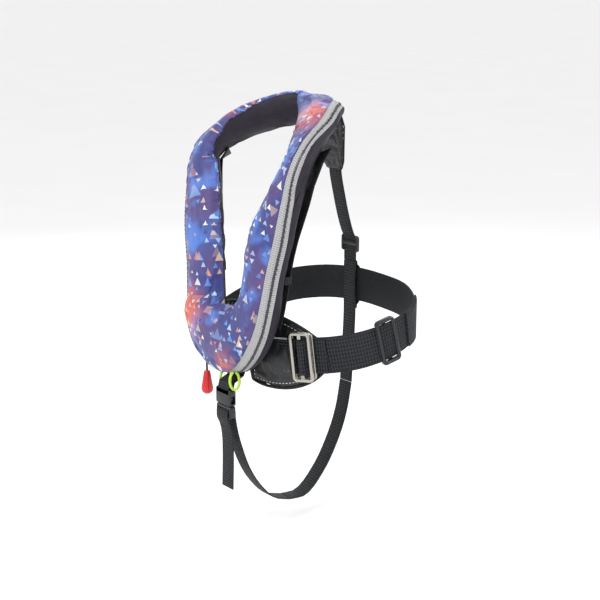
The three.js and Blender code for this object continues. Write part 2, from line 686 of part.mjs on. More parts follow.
// Webbing sewn to the pad that holds the ring by its bar on the patch's side.
function addRingLoop(holder) {
  const bar = -ringWidth / 2 + ringBar / 2;
  const thick = 1.6;
  const reachY = 1.8 + seamGap + thick / 2;
  const reachX = ringBar / 2 + seamGap + thick / 2 + 0.4;
  const path = [[bar - 9, ringStand + 0.3], [bar - 2, reachY + 1.6]];
  for (let a = 75; a >= -90; a -= 33) {
    const r = THREE.MathUtils.degToRad(a);
    path.push([bar + reachX * Math.cos(r), reachY * Math.sin(r)]);
  }
  path.push([bar - 3, -reachY + 0.3], [bar - 9, ringStand - thick - 2.4]);
  add('ring_webbing_loop', flatRibbon(path, beltWidth - 2, thick), webbing, holder);
}

// Ribbon that stands on edge along Z and follows [x, y] points.
function flatRibbon(path, width, thick) {
  const frames = path.map(([x, y], i) => {
    const [x0, y0] = path[Math.max(i - 1, 0)];
    const [x1, y1] = path[Math.min(i + 1, path.length - 1)];
    const along = vec(x1 - x0, y1 - y0, 0).normalize();
    return { origin: vec(x, y, 0), x: vec(0, 0, 1), y: vec(-along.y, along.x, 0) };
  });
  return sweep(frames, () => rectangle(width, thick));
}

// End of the belt: it lies on the belt's side run, passes behind the ring's bar, up through
// both windows, round the centre bar of the slide, and back the same way.
function addSlideLoop(front) {
  const thick = 1.6;
  const over = slideStand - beltThick / 2 - 2 * seamGap - thick / 2;
  const under = over + thick + seamGap;
  const onBelt = (x, y) => {
    const local = front.worldToLocal(beltFrame(buckleAt + x, 0).origin);
    return [x, y + local.y - slideStand];
  };
  const path = [onBelt(32, over), onBelt(22, over), [13.4, over], [11.4, over - 0.4], [7.6, over - 4.2], [4.6, 1.6], [4.1, -1.7],
    [1.7, -3.1], [-1.7, -3.1], [-4.1, -1.7], [-4.1, 1.7], [-1.7, 3.2], [1.9, 3.4], [6.4, over - 2.9], [10.2, under - 0.1],
    [13.4, under], onBelt(18.4, under)];
  add('slide_webbing_loop', flatRibbon(path, beltWidth - 2, thick), webbing, front);
}

function addBelt() {
  const start = buckleAt + 20;
  const end = beltLength - padStart - 60;
  add('belt_side', beltRibbon(start, glideAt + 34, 0, beltWidth, beltThick, 14), webbing);
  add('belt_back', beltRibbon(glideAt + 34.4, end, 0, beltWidth, beltThick, 36), webbing);
  add('belt_tail', beltRibbon(glideAt + 36, glideAt + 92, beltThick + seamGap, beltWidth, beltThick, 8), webbing);

  const glide = beltGroup(glideAt, 0);
  const ring = frameRing(glideWidth, glideHeight, 5, 8, 6);
  const outerBars = box(glideWidth + 2, 9, beltWidth + 3, 0, 3, 0);
  const innerBar = box(6, 2.2, glideHeight - 6, 0, 3.2, 0);
  add('belt_tri_glide', join(cut(ring, outerBars), innerBar), blackPlastic, glide);
}

// ---------- straps in the middle plane ----------
function strapRoute(points, steps) {
  const curve = new THREE.CatmullRomCurve3(points.map(([y, z]) => vec(0, y, z)), false, 'centripetal');
  return curve.getSpacedPoints(steps).map((p) => [p.y, p.z]);
}

// Ribbon across X that follows [y, z] points.
function middleRibbon(route, width = strapWidth, thick = strapThick) {
  const turn = new THREE.Matrix4().makeBasis(vec(0, 1, 0), vec(0, 0, 1), vec(1, 0, 0));
  return flatRibbon(route, width, thick).applyMatrix4(turn);
}

function strap(points, steps) {
  return middleRibbon(strapRoute(points, steps));
}

const yokeTopWidth = 72;
const yokeEndWidth = 30;
const yokeThick = 2.4;
const yokeTop = { y: 70.6, z: 2 };
const yokeEnd = { y: 91, z: -yokeDrop };

function addYoke() {
  const height = Math.hypot(yokeTop.y - yokeEnd.y, yokeTop.z - yokeEnd.z);
  const shape = new THREE.Shape();
  shape.moveTo(-yokeEndWidth / 2, 0);
  shape.lineTo(yokeEndWidth / 2, 0);
  shape.lineTo(yokeEndWidth / 2 + 7, 12);
  shape.lineTo(yokeTopWidth / 2, height - 26);
  shape.lineTo(yokeTopWidth / 2 - 4, height - 6);
  shape.quadraticCurveTo(0, height + 4, -yokeTopWidth / 2 + 4, height - 6);
  shape.lineTo(-yokeTopWidth / 2, height - 26);
  shape.lineTo(-yokeEndWidth / 2 - 7, 12);
  shape.closePath();
  const yoke = new THREE.Group();
  yoke.position.set(0, yokeEnd.y, yokeEnd.z);
  yoke.rotation.x = Math.atan2(yokeEnd.y - yokeTop.y, yokeTop.z - yokeEnd.z);
  group.add(yoke);
  add('back_yoke', plate(shape, yokeThick, 0, 4), padCloth, yoke);
}

const beltBack = beltFront + beltBackRise;
const lockZ = -200; // ladder lock on the back strap
const loopTop = beltBack + beltWidth / 2 + 12;
const loopBottom = beltBack - beltWidth / 2 - 12;
const strapY = backStrapDepth;
const lowest = beltBack - crotchDrop - 58;

function addBackStraps() {
  const gap = seamGap + strapThick / 2;
  const yokeFace = yokeEnd.y + yokeThick / 2 + gap;
  add('back_strap_upper', strap([
    [yokeFace, yokeEnd.z + 16], [yokeFace + 0.4, yokeEnd.z - 4], [yokeEnd.y + 11, -128], [strapY - 14, -158],
    [strapY - 6, lockZ + 19], [strapY - 0.7, lockZ + 8], [strapY, lockZ], [strapY, lockZ - 12], [strapY, lockZ - 26],
  ], 22), webbing);
  const lock = new THREE.Group();
  lock.position.set(0, strapY, lockZ);
  group.add(lock);
  const frame = frameRing(34, 24, 3.6, 7.2, 4);
  const channel = box(strapWidth + 1.6, 8.6, 30, 0, -4.3 + 1.2 + 0.1, 0);
  const bar = box(31, 2.2, 4.4, 0, -2.4, 0);
  add('ladder_lock', join(cut(frame, channel), bar), blackPlastic, lock);

  add('back_strap_lower', strap([
    [strapY, lockZ - 26.4], [strapY, loopTop], [strapY - 1, beltBack], [strapY, loopBottom], [strapY - 1, loopBottom - 30],
    [strapY - 6, -410],
  ], 16), webbing);
  const outside = strapY + 4.6 + beltThick / 2 + gap + 2.6;
  add('belt_loop', strap([
    [strapY + strapThick + 0.5, loopTop - 1], [strapY + strapThick + 0.9, loopTop - 6], [outside, loopTop - 14],
    [outside + 0.5, beltBack], [outside, loopBottom + 14], [strapY + strapThick + 0.9, loopBottom + 6],
    [strapY + strapThick + 0.5, loopBottom + 1],
  ], 14), webbing);
}

const hem = -frontDrop - bendHalfWidth; // lowest edge of the cover
const barZ = hem - buckleGap;
const buckleY = -chestDepth - 8;
const partingZ = barZ - 24;

function addCrotchStrap() {
  add('crotch_strap_rear', strap([
    [strapY - 6.1, -410.5], [strapY - 14, -450], [97, -485], [67, -534], [30, lowest - 1], [0.3, lowest],
  ], 18), webbing);
  const behind = buckleY + 6.8;
  const slot = partingZ - 6.2;
  const front = strapRoute([
    [-0.3, lowest], [-30, lowest + 11], [-57, -526], [-76, -494], [-88, -462], [-95.5, -436],
    [behind, partingZ - 19],
  ], 16);
  front.push([behind, partingZ - 11], [behind - 0.6, slot - 1.4], [behind - 2.2, slot], [buckleY - 3.6, slot]);
  add('crotch_strap_front', middleRibbon(front), webbing);
  const over = buckleY - 6.6;
  const tail = [[buckleY - 4.3, slot], [over + 0.5, slot - 0.8], [over, slot - 3], [over, partingZ - 18]];
  tail.push(...strapRoute([
    [over + 1, partingZ - 22], [buckleY - 1, partingZ - 32], [buckleY + 2, partingZ - 50],
    [buckleY + 2.5, partingZ - 76], [buckleY + 1, partingZ - 17 - tailLength],
  ], 12));
  add('crotch_strap_tail', middleRibbon(tail), webbing);
  addSideRelease();
}

function addSideRelease() {
  const holder = new THREE.Group();
  holder.position.set(0, buckleY, partingZ);
  group.add(holder);
  const female = cut(
    plate(roundedOutline(33, 24, 3), 11, 1.2).translate(0, 0, 12),
    box(26.4, 6.8, 18, 0, 0, 7), box(40, 6.8, 10.8, 0, 0, 9), box(26.4, 14, 3.6, 0, 0, 19.2),
    box(26.4, 5, 8, 0, 5.1, 22), box(26.4, 5, 8, 0, -5.1, 22));
  add('buckle_female', female, blackPlastic, holder);
  const male = join(
    cut(plate(roundedOutline(32, 18, 3), 10, 1).translate(0, 0, -9.4),
      box(26.4, 14, 3.4, 0, 0, -6.2), box(26.4, 14, 3.8, 0, 0, -13.4)),
    box(6, 5.6, 14, 0, 0, 6));
  add('buckle_male', male, blackPlastic, holder);
  for (const side of [1, -1]) {
    const prong = new THREE.Shape();
    prong.moveTo(8.4, 0.3);
    prong.lineTo(10.4, 0.3);
    prong.lineTo(12.2, 2.6);
    prong.lineTo(12.6, 4.4);
    prong.lineTo(14.2, 11.4);
    prong.lineTo(12.4, 14);
    prong.lineTo(9.6, 14);
    prong.lineTo(8.6, 4.4);
    prong.closePath();
    const shape = plate(prong, 5.8);
    if (side < 0) shape.rotateZ(Math.PI);
    add(side > 0 ? 'buckle_prong_left' : 'buckle_prong_right', shape, blackPlastic, holder);
  }
  const r = 4.1;
  const path = [[-chestDepth + 22.2, hem + 40], [-chestDepth + 21.9, hem + 12], [-chestDepth + 14, hem - 4],
    [buckleY + 6.4, barZ + 8]];
  for (let a = 14; a >= -194; a -= 26) {
    const t = THREE.MathUtils.degToRad(a);
    path.push([buckleY + r * Math.cos(t), barZ - 1.5 + r * Math.sin(t)]);
  }
  path.push([buckleY - 1.6, barZ + 9], [-chestDepth + 5, hem - 4.5]);
  add('buckle_webbing_loop', middleRibbon(path, strapWidth - 0.4, 1.5), webbing);
}

// ---------- lime loops ----------
function addLimeLoop(name, place, width, height, turn) {
  const holder = new THREE.Group();
  holder.position.copy(place);
  holder.rotation.z = turn;
  group.add(holder);
  class Loop extends THREE.Curve {
    getPoint(t, target = vec(0, 0, 0)) {
      const a = Math.PI / 2 + 0.24 + t * (Math.PI * 2 - 0.48);
      return target.set((width / 2) * Math.cos(a), 0, (height / 2) * (Math.sin(a) - 1));
    }
  }
  const section = new THREE.Shape();
  section.absarc(0, 0, limeCord / 2, 0, Math.PI * 2, false);
  const loop = new THREE.ExtrudeGeometry(section, { steps: 20, extrudePath: new Loop(), curveSegments: 4 });
  add(name, loop, limeBraid, holder);
}

addCover();
addBladder();
addHarness(1, 'left', 2.6); // the low end reaches back to the pad
addHarness(-1, 'right', 3.4);
addKeeper(1, 'left');
addKeeper(-1, 'right');
addZipSlider();
addInflator();
addPullHandle();
addOralTube();
addPad(1, 'left');
addPad(-1, 'right');
addFrontBuckle();
addBelt();
addYoke();
addBackStraps();
addCrotchStrap();
addLimeLoop('lime_loop_left', vec(19.5, -chestDepth - 7, hem + 8.2), 13, 26, 0.87);
addLimeLoop('lime_loop_right', vec(-18.7, -chestDepth + 5, hem - 1.1), 13, 26, 0.87);

export default group;
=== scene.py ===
import heapq
import math

import bmesh
import bpy
import numpy as np
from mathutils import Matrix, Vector
from mathutils.bvhtree import BVHTree
from mathutils.kdtree import KDTree


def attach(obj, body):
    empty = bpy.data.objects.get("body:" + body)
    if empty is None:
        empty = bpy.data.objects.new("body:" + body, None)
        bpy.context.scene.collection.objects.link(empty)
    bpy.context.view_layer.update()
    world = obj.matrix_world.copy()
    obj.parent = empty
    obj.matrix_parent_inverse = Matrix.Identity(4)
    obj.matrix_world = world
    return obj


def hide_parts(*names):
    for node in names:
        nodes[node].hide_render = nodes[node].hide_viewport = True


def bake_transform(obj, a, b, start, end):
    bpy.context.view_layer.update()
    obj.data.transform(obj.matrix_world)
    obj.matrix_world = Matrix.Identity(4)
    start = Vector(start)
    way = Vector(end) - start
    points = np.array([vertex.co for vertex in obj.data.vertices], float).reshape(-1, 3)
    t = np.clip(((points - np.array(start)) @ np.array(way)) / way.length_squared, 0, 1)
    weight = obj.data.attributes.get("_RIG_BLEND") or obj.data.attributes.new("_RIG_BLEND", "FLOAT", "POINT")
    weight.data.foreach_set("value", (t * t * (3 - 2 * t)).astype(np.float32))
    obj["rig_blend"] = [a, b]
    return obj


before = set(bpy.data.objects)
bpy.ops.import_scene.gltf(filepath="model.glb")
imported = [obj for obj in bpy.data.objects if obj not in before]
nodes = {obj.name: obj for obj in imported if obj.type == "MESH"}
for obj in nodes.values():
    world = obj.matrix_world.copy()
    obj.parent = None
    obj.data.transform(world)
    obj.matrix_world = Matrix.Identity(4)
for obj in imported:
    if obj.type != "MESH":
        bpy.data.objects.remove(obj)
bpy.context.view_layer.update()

scene = bpy.context.scene
scene.view_settings.view_transform = "Standard"

# camera, and the floor and air that go in last
view = {
    "azimuth": 50,
    "elevation": 15,
    "distance": 1.75,
    "target": (0, 0.028, -0.27),
    "lens": 73.5,
}
studio = {"floorHeight": -0.602, "reach": 60.0, "air": (1.0, 1.0, 1.0), "airStrength": 0.97}


def addCamera(settings):
    turn, lift = math.radians(settings["azimuth"]), math.radians(settings["elevation"])
    back = Vector((math.sin(turn) * math.cos(lift), -math.cos(turn) * math.cos(lift), math.sin(lift)))
    data = bpy.data.cameras.new("camera")
    data.lens = settings["lens"]
    data.clip_end = 50
    camera = bpy.data.objects.new("camera", data)
    camera.location = Vector(settings["target"]) + back * settings["distance"]
    camera.rotation_euler = back.to_track_quat("Z", "Y").to_euler()
    scene.collection.objects.link(camera)
    scene.camera = camera


def addLight(name, spot, aim, size, power):
    data = bpy.data.lights.new(name, "AREA")
    data.size = size
    data.energy = power
    light = bpy.data.objects.new(name, data)
    light.location = spot
    light.rotation_euler = (Vector(spot) - Vector(aim)).to_track_quat("Z", "Y").to_euler()
    scene.collection.objects.link(light)


addCamera(view)
print("stage: camera")


# shader helpers
def wire(socket, value):
    if isinstance(value, bpy.types.NodeSocket):
        socket.id_data.links.new(value, socket)
    else:
        socket.default_value = value


def newMaterial(name, roughness, metallic=0.0):
    material = bpy.data.materials.new(name)
    material.use_nodes = True
    tree = material.node_tree
    shader = tree.nodes["Principled BSDF"]
    shader.inputs["Roughness"].default_value = roughness
    shader.inputs["Metallic"].default_value = metallic
    return material, tree, shader


def calc(tree, operation, first, second=0.0, third=0.0):
    made = tree.nodes.new("ShaderNodeMath")
    made.operation = operation
    for socket, value in zip(made.inputs, (first, second, third)):
        wire(socket, value)
    return made.outputs[0]


def joined(tree, x, y, z):
    made = tree.nodes.new("ShaderNodeCombineXYZ")
    for socket, value in zip(made.inputs, (x, y, z)):
        wire(socket, value)
    return made.outputs[0]


def mixed(tree, share, first, second):
    made = tree.nodes.new("ShaderNodeMix")
    made.data_type = "RGBA"
    wire(made.inputs[0], share)
    wire(made.inputs[6], first if isinstance(first, bpy.types.NodeSocket) else (*first, 1))
    wire(made.inputs[7], second if isinstance(second, bpy.types.NodeSocket) else (*second, 1))
    return made.outputs[2]


def clouds(tree, vector, scale, detail=3.0, roughness=0.5):
    made = tree.nodes.new("ShaderNodeTexNoise")
    wire(made.inputs["Vector"], vector)
    made.inputs["Scale"].default_value = scale
    made.inputs["Detail"].default_value = detail
    made.inputs["Roughness"].default_value = roughness
    return made.outputs[0]


def ramped(tree, value, start, end, low=0.0, high=1.0):
    made = tree.nodes.new("ShaderNodeMapRange")
    made.interpolation_type = "SMOOTHSTEP"
    wire(made.inputs[0], value)
    for index, number in enumerate((start, end, low, high)):
        made.inputs[index + 1].default_value = number
    return made.outputs[0]


def measured(tree, name):
    made = tree.nodes.new("ShaderNodeAttribute")
    made.attribute_name = name
    return made.outputs["Fac"]


def place(tree):
    return tree.nodes.new("ShaderNodeTexCoord").outputs["Object"]


def wave(tree, value, period):
    return calc(tree, "SINE", calc(tree, "MULTIPLY", value, 2 * math.pi / period))


def raised(tree, shader, height, depth, strength=1.0):
    made = tree.nodes.new("ShaderNodeBump")
    made.inputs["Distance"].default_value = depth
    made.inputs["Strength"].default_value = strength
    wire(made.inputs["Height"], height)
    before = shader.inputs["Normal"]
    if before.is_linked:
        wire(made.inputs["Normal"], before.links[0].from_socket)
    wire(before, made.outputs[0])


def chance(tree, vector):
    made = tree.nodes.new("ShaderNodeTexWhiteNoise")
    wire(made.inputs["Vector"], vector)
    parts = tree.nodes.new("ShaderNodeSeparateColor")
    wire(parts.inputs[0], made.outputs["Color"])
    return made.outputs["Value"], *parts.outputs[:3]


def palette(tree, value, colours):
    made = tree.nodes.new("ShaderNodeValToRGB")
    made.color_ramp.interpolation = "CONSTANT"
    stops = made.color_ramp.elements
    while len(stops) < len(colours):
        stops.new(0.5)
    for index, colour in enumerate(colours):
        stops[index].position = index / len(colours)
        stops[index].color = (*colour, 1)
    wire(made.inputs[0], value)
    return made.outputs[0]


# materials
printLook = {
    "deep": (0.026, 0.036, 0.19),
    "violet": (0.065, 0.04, 0.17),
    "sky": (0.07, 0.2, 0.62),
    "coral": (0.62, 0.11, 0.05),
    "rose": (0.42, 0.1, 0.13),
    "glows": [
        ((-0.080, -0.105, -0.272), 0.062, 1.0),
        ((-0.083, -0.050, -0.105), 0.045, 0.55),
        ((-0.092, -0.020, 0.000), 0.042, 0.8),
        ((0.000, 0.060, 0.016), 0.040, 0.5),
        ((0.078, -0.020, 0.008), 0.060, 0.75),
        ((0.075, -0.085, -0.215), 0.035, 0.35),
        ((0.010, -0.112, -0.335), 0.040, 0.6),
    ],
    "shines": [
        ((-0.075, -0.075, -0.175), 0.055, 0.8),
        ((-0.040, 0.045, 0.012), 0.050, 0.7),
        ((0.060, -0.060, -0.120), 0.050, 0.5),
    ],
    "footTop": -0.262,
    "white": (0.85, 0.85, 0.83),
    "beige": (0.62, 0.47, 0.36),
    "ice": (0.42, 0.6, 0.86),
    "blue": (0.1, 0.26, 0.66),
    "salmon": (0.62, 0.24, 0.17),
    "navy": (0.02, 0.025, 0.12),
    "layers": [(0.030, 0.42, 0.45, 7), (0.018, 0.5, 0.85, 3), (0.0105, 0.42, 0.95, 11)],
}


def blob(tree, spot, centre, radius, strength):
    made = tree.nodes.new("ShaderNodeVectorMath")
    made.operation = "DISTANCE"
    wire(made.inputs[0], spot)
    made.inputs[1].default_value = centre
    return ramped(tree, made.outputs["Value"], radius, 0.0, 0.0, strength)


def switched(tree, test, first, second):
    made = tree.nodes.new("ShaderNodeMix")
    wire(made.inputs[0], test)
    wire(made.inputs[2], first)
    wire(made.inputs[3], second)
    return made.outputs[0]


def triangleLayer(tree, along, across, side, size, density, seed):
    x = calc(tree, "ADD", calc(tree, "DIVIDE", across, size), seed * 0.37)
    y = calc(tree, "ADD", calc(tree, "DIVIDE", along, size), seed * 0.61)
    cell = [calc(tree, "FLOOR", x), calc(tree, "FLOOR", y), calc(tree, "ADD", side, seed)]
    key = joined(tree, *cell)
    first, red, green, blue = chance(tree, key)
    moved = tree.nodes.new("ShaderNodeVectorMath")
    moved.operation = "ADD"
    wire(moved.inputs[0], key)
    moved.inputs[1].default_value = (31.7, 12.9, 5.3)
    _, tone, fade, flip = chance(tree, moved.outputs[0])
    offX = calc(tree, "MULTIPLY_ADD", red, 0.34, -0.67)
    offY = calc(tree, "MULTIPLY_ADD", green, 0.3, -0.65)
    fx = calc(tree, "ADD", calc(tree, "FRACT", x), offX)
    fy = calc(tree, "ADD", calc(tree, "FRACT", y), offY)
    upright = calc(tree, "LESS_THAN", flip, 0.78)
    turned = calc(tree, "SUBTRACT", calc(tree, "MULTIPLY", upright, 2.0), 1.0)
    fy = calc(tree, "MULTIPLY", fy, turned)
    scale = calc(tree, "MULTIPLY_ADD", blue, 0.34, 0.38)
    floor = calc(tree, "GREATER_THAN", fy, calc(tree, "MULTIPLY", scale, -0.42))
    roof = calc(tree, "MULTIPLY_ADD", calc(tree, "ABSOLUTE", fx), 1.75, fy)
    under = calc(tree, "LESS_THAN", roof, calc(tree, "MULTIPLY", scale, 0.55))
    shown = calc(tree, "LESS_THAN", first, density)
    mask = calc(tree, "MULTIPLY", calc(tree, "MULTIPLY", floor, under), shown)
    return mask, tone, fade


def printMaterial(settings):
    material, tree, shader = newMaterial("printedCloth", 0.62)
    spot = place(tree)
    along, across = measured(tree, "along"), measured(tree, "across")
    apart = tree.nodes.new("ShaderNodeSeparateXYZ")
    wire(apart.inputs[0], spot)
    side = calc(tree, "MULTIPLY", calc(tree, "GREATER_THAN", apart.outputs[0], 0.0), 19.0)
    below = calc(tree, "LESS_THAN", apart.outputs[2], settings["footTop"])
    side = switched(tree, below, side, 40.0)
    rise = switched(tree, below, along, apart.outputs[2])
    reach = switched(tree, below, across, apart.outputs[0])
    dusk = ramped(tree, clouds(tree, spot, 16), 0.4, 0.62)
    colour = mixed(tree, dusk, settings["deep"], settings["violet"])
    clear = ramped(tree, clouds(tree, spot, 24, 2), 0.5, 0.68, 0, 0.75)
    colour = mixed(tree, clear, colour, settings["sky"])
    for centre, radius, strength in settings["shines"]:
        shine = blob(tree, spot, centre, radius, strength * 0.8)
        colour = mixed(tree, shine, colour, settings["sky"])
    ragged = tree.nodes.new("ShaderNodeVectorMath")
    ragged.operation = "MULTIPLY_ADD"
    swirl = tree.nodes.new("ShaderNodeTexNoise")
    swirl.inputs["Scale"].default_value = 30
    wire(swirl.inputs["Vector"], spot)
    wire(ragged.inputs[0], swirl.outputs["Color"])
    ragged.inputs[1].default_value = (0.035, 0.035, 0.035)
    wire(ragged.inputs[2], spot)
    for centre, radius, strength in settings["glows"]:
        centre = tuple(value + 0.0175 for value in centre)
        glow = blob(tree, ragged.outputs[0], centre, radius, strength)
        colour = mixed(tree, glow, colour, settings["rose"])
        core = blob(tree, ragged.outputs[0], centre, radius * 0.7, strength)
        colour = mixed(tree, core, colour, settings["coral"])
    names = ("white", "ice", "navy", "blue", "beige", "white", "salmon", "ice", "blue", "beige")
    shades = [settings[name] for name in names]
    for size, density, cover, seed in settings["layers"]:
        mask, tone, fade = triangleLayer(tree, rise, reach, side, size, density, seed)
        fading = calc(tree, "MULTIPLY_ADD", fade, 0.55 * cover, 0.45 * cover)
        solid = calc(tree, "MULTIPLY", mask, fading)
        colour = mixed(tree, solid, colour, palette(tree, tone, shades))
    wire(shader.inputs["Base Color"], colour)
    shader.inputs["Sheen Weight"].default_value = 0.15
    shader.inputs["Roughness"].default_value = 0.55
    weave = calc(tree, "MULTIPLY", wave(tree, along, 0.0011), wave(tree, across, 0.0011))
    raised(tree, shader, weave, 0.00004, 0.5)
    raised(tree, shader, clouds(tree, spot, 90, 2), 0.0012, 0.55)
    return material


def clothMaterial(name, colour, second, roughness, period=0.0009, crease=0.001, gloss=0.3):
    material, tree, shader = newMaterial(name, roughness)
    shader.inputs["Specular IOR Level"].default_value = gloss
    spot = place(tree)
    mottled = mixed(tree, ramped(tree, clouds(tree, spot, 60, 4), 0.35, 0.7), colour, second)
    wire(shader.inputs["Base Color"], mottled)
    apart = tree.nodes.new("ShaderNodeSeparateXYZ")
    wire(apart.inputs[0], spot)
    threads = [wave(tree, apart.outputs[axis], period) for axis in (2, 0)]
    weave = calc(tree, "MULTIPLY", *threads)
    raised(tree, shader, weave, 0.00005, 0.5)
    raised(tree, shader, clouds(tree, spot, 70, 3), crease, 0.6)
    return material


# edge is the paler colour: both the random wear mottle and the painted highlight on the rib crests mix
# toward it
def ribbedMaterial(name, colour, edge, roughness, half, rib, depth, selvedge=0.0025, rows=0.35):
    material, tree, shader = newMaterial(name, roughness)
    shader.inputs["Specular IOR Level"].default_value = 0.25
    spot = place(tree)
    along, across = measured(tree, "along"), measured(tree, "across")
    lines = wave(tree, along, rib)
    columns = wave(tree, across, rib * 1.3)
    outer = ramped(tree, calc(tree, "ABSOLUTE", across), half - selvedge, half - selvedge * 0.7)
    plain = calc(tree, "MULTIPLY_ADD", columns, rows, lines)
    sides = wave(tree, calc(tree, "ADD", along, calc(tree, "MULTIPLY", across, 0.8)), rib * 0.8)
    change = calc(tree, "SUBTRACT", sides, plain)
    height = calc(tree, "ADD", plain, calc(tree, "MULTIPLY", outer, change))
    worn = mixed(tree, ramped(tree, clouds(tree, spot, 120, 3), 0.35, 0.7, 0, 0.15), colour, edge)
    # painted highlight: the rib crests are painted paler toward edge, on top of the random wear mottle
    wearAndRibHighlight = mixed(tree, ramped(tree, height, -1.2, 1.2, 0.0, 0.8), worn, edge)
    wire(shader.inputs["Base Color"], wearAndRibHighlight)
    raised(tree, shader, height, depth, 0.8)
    raised(tree, shader, clouds(tree, spot, 400, 2), 0.0002, 0.5)
    return material


def hardMaterial(name, colour, roughness, metallic=0.0, grain=900.0, depth=0.00004, coat=0.0, streak=None):
    material, tree, shader = newMaterial(name, roughness, metallic)
    spot = place(tree)
    if streak:
        stretched = tree.nodes.new("ShaderNodeVectorMath")
        stretched.operation = "MULTIPLY"
        wire(stretched.inputs[0], spot)
        stretched.inputs[1].default_value = streak
        spot = stretched.outputs[0]
    dull = tuple(value * 0.82 for value in colour)
    wire(shader.inputs["Base Color"], mixed(tree, clouds(tree, spot, grain * 0.2, 4), dull, colour))
    rough = ramped(tree, clouds(tree, spot, grain * 0.1, 3), 0.3, 0.7, roughness * 0.8, roughness * 1.2)
    wire(shader.inputs["Roughness"], rough)
    shader.inputs["Coat Weight"].default_value = coat
    raised(tree, shader, clouds(tree, spot, grain, 2), depth, 0.6)
    return material


# dark is a painted shade colour for the grooves between the braid strands
def braidMaterial(name, colour, dark, pitch=0.0022, depth=0.0004):
    material, tree, shader = newMaterial(name, 0.6)
    along, across = measured(tree, "along"), measured(tree, "across")
    one = wave(tree, calc(tree, "ADD", along, across), pitch)
    two = wave(tree, calc(tree, "SUBTRACT", along, across), pitch)
    height = calc(tree, "MAXIMUM", one, two)
    # painted shade: the grooves between the strands are painted toward dark, the crests keep the full colour
    paintedGrooveShade = mixed(tree, ramped(tree, height, -0.6, 0.9), dark, colour)
    wire(shader.inputs["Base Color"], paintedGrooveShade)
    raised(tree, shader, height, depth, 0.8)
    raised(tree, shader, clouds(tree, place(tree), 700, 2), 0.0001, 0.4)
    return material


looks = {
    "print": printMaterial(printLook),
    "lining": clothMaterial("liningCloth", (0.016, 0.013, 0.021), (0.022, 0.018, 0.029), 0.6),
    "pad": clothMaterial(
        "padCloth", (0.008, 0.009, 0.011), (0.013, 0.014, 0.017), 0.36, crease=0.0008, gloss=0.45
    ),
    "binding": clothMaterial("bindingTape", (0.007, 0.007, 0.009), (0.012, 0.012, 0.014), 0.6, 0.0013),
    "bladder": clothMaterial("bladderCloth", (0.8, 0.6, 0.03), (0.7, 0.5, 0.02), 0.5),
    # the second colour of each ribbed look is its paler wear colour, also used as the painted highlight on
    # the rib crests
    "tape": ribbedMaterial("zipTape", (0.3, 0.3, 0.31), (0.5, 0.5, 0.51), 0.5, 0.02, 0.003, 0.0004, 0.001),
    "webbing": ribbedMaterial(
        "strapWebbing", (0.006, 0.007, 0.008), (0.03, 0.033, 0.037), 0.6, 0.0125, 0.0042, 0.0009
    ),
    "wide": ribbedMaterial(
        "beltWebbing", (0.005, 0.006, 0.008), (0.033, 0.037, 0.043), 0.62, 0.025, 0.004, 0.0008, rows=0.8
    ),
    "flat": ribbedMaterial(
        "backWebbing", (0.009, 0.01, 0.012), (0.022, 0.024, 0.028), 0.6, 0.025, 0.0016, 0.0003
    ),
    "harness": ribbedMaterial(
        "harnessWebbing", (0.009, 0.01, 0.012), (0.02, 0.022, 0.026), 0.6, 0.018, 0.002, 0.0003
    ),
    # the second colour of each braid look is its painted groove shade
    "lime": braidMaterial("limeBraid", (0.6, 0.86, 0.1), (0.3, 0.5, 0.03)),
    "cord": braidMaterial("pullCordBraid", (0.03, 0.03, 0.034), (0.01, 0.01, 0.012), 0.0015, 0.0002),
    "steel": hardMaterial("buckleSteel", (0.47, 0.45, 0.4), 0.26, 1.0, 350, 0.00002),
    "zinc": hardMaterial("castZinc", (0.6, 0.6, 0.62), 0.32, 1.0, 1500, 0.00004),
    "turned": hardMaterial("turnedSteel", (0.6, 0.6, 0.6), 0.25, 1.0, 1800, 0.00003, 0, (12, 12, 1)),
    "cylinder": hardMaterial("platedCylinder", (0.5, 0.51, 0.52), 0.35, 1.0, 1000, 0.00004),
    "plastic": hardMaterial("buckleAcetal", (0.01, 0.011, 0.013), 0.38, 0, 1600, 0.00008),
    "coil": hardMaterial("coilNylon", (0.05, 0.05, 0.055), 0.4, 0, 2000, 0.00005),
    "grey": hardMaterial("housingPlastic", (0.12, 0.13, 0.14), 0.45, 0, 1400, 0.00008),
    "red": hardMaterial("handleRed", (0.6, 0.009, 0.014), 0.3, 0, 500, 0.00004, 0.3),
    "orange": hardMaterial("orangePlastic", (0.75, 0.2, 0.02), 0.3, 0, 700, 0.00004, 0.3),
    "thread": clothMaterial("whiteThread", (0.7, 0.7, 0.68), (0.55, 0.55, 0.53), 0.7, 0.0004, 0.0002),
    "darkThread": clothMaterial("darkThread", (0.05, 0.05, 0.055), (0.09, 0.09, 0.1), 0.7, 0.0004, 0.0002),
}
print("stage: materials")


# mesh helpers
def link(name, mesh, look, body):
    obj = bpy.data.objects.new(name, mesh)
    scene.collection.objects.link(obj)
    mesh.materials.clear()
    mesh.materials.append(looks[look])
    if body:
        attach(obj, body)
    return obj


def built(vertices, faces):
    mesh = bpy.data.meshes.new("made")
    mesh.from_pydata([tuple(v) for v in vertices], [], faces)
    mesh.update()
    return mesh


def cleanCopy(node, quads=True):
    bm = bmesh.new()
    bm.from_mesh(nodes[node].data)
    for layer in list(bm.loops.layers.uv.values()):
        bm.loops.layers.uv.remove(layer)
    for name in ("along", "across"):
        bm.verts.layers.float.new(name)
    bmesh.ops.remove_doubles(bm, verts=bm.verts, dist=1e-5)
    if quads:
        asQuads(bm, 40, 70)
    bm.faces.ensure_lookup_table()
    return bm


def asQuads(bm, bend, skew):
    bmesh.ops.join_triangles(
        bm,
        faces=bm.faces,
        angle_face_threshold=math.radians(bend),
        angle_shape_threshold=math.radians(skew),
    )


